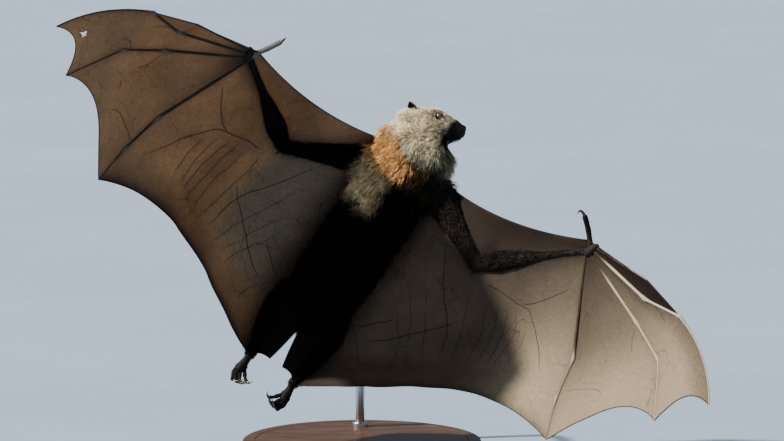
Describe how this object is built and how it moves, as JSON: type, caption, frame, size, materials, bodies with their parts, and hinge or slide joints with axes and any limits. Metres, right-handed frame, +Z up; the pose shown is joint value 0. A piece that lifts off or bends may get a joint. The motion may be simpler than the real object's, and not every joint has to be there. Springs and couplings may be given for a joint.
{
  "type": "grey-headed flying fox bat",
  "caption": "Life-size still model of a grey-headed flying fox in flight, wings spread and cupped, banked to show its belly, on a plain round base with one steel rod",
  "frame": {"origin": "on the surface the base stands on, under the middle of the whole model's box", "axes": "+Z up; the belly faces -Y, towards the viewer; +X is the viewer's right, the side of the bat's left wing"},
  "size_m": [0.7026, 0.5166, 0.5365],
  "materials": {
    "fur_dark": "blackish brown coat of belly, back and limbs, medium long, soft",
    "fur_grey": "pale grey to buff coat of the head, short on the muzzle",
    "fur_collar": "shaggy orange rufous mantle round the neck",
    "skin_black": "bare blackish skin of fingers, ears, nose and feet, satin",
    "membrane": "thin brown wing skin with fine veins, lets light through",
    "eye": "dark brown, wet gloss",
    "claw": "black horn, smooth satin",
    "wood": "plain dark oiled wood",
    "steel": "plain brushed steel rod"
  },
  "bodies": {
    "root": {"ear_left": "skin_black", "ear_right": "skin_black", "eye_left": "eye", "eye_right": "eye", "finger_2_left": "skin_black", "finger_2_right": "skin_black", "finger_3_left": "skin_black", "finger_3_right": "skin_black", "finger_4_left": "skin_black", "finger_4_right": "skin_black", "finger_5_left": "skin_black", "finger_5_right": "skin_black", "foot_left": "skin_black", "foot_right": "skin_black", "forearm_left": "fur_dark", "forearm_right": "fur_dark", "hand_left": "skin_black", "hand_right": "skin_black", "head": "fur_grey", "membrane_1_2_left": "membrane", "membrane_1_2_right": "membrane", "membrane_2_3_left": "membrane", "membrane_2_3_right": "membrane", "membrane_3_4_left": "membrane", "membrane_3_4_right": "membrane", "membrane_4_5_left": "membrane", "membrane_4_5_right": "membrane", "neck": "fur_collar", "nose": "skin_black", "plagiopatagium_left": "membrane", "plagiopatagium_right": "membrane", "propatagium_left": "membrane", "propatagium_right": "membrane", "shin_left": "fur_dark", "shin_right": "fur_dark", "stand_base": "wood", "stand_rod": "steel", "thigh_left": "fur_dark", "thigh_right": "fur_dark", "thumb_claw_left": "claw", "thumb_claw_right": "claw", "thumb_left": "skin_black", "thumb_right": "skin_black", "trunk": "fur_dark", "upper_arm_left": "fur_dark", "upper_arm_right": "fur_dark", "uropatagium_left": "membrane", "uropatagium_right": "membrane"}
  },
  "joints": []
}
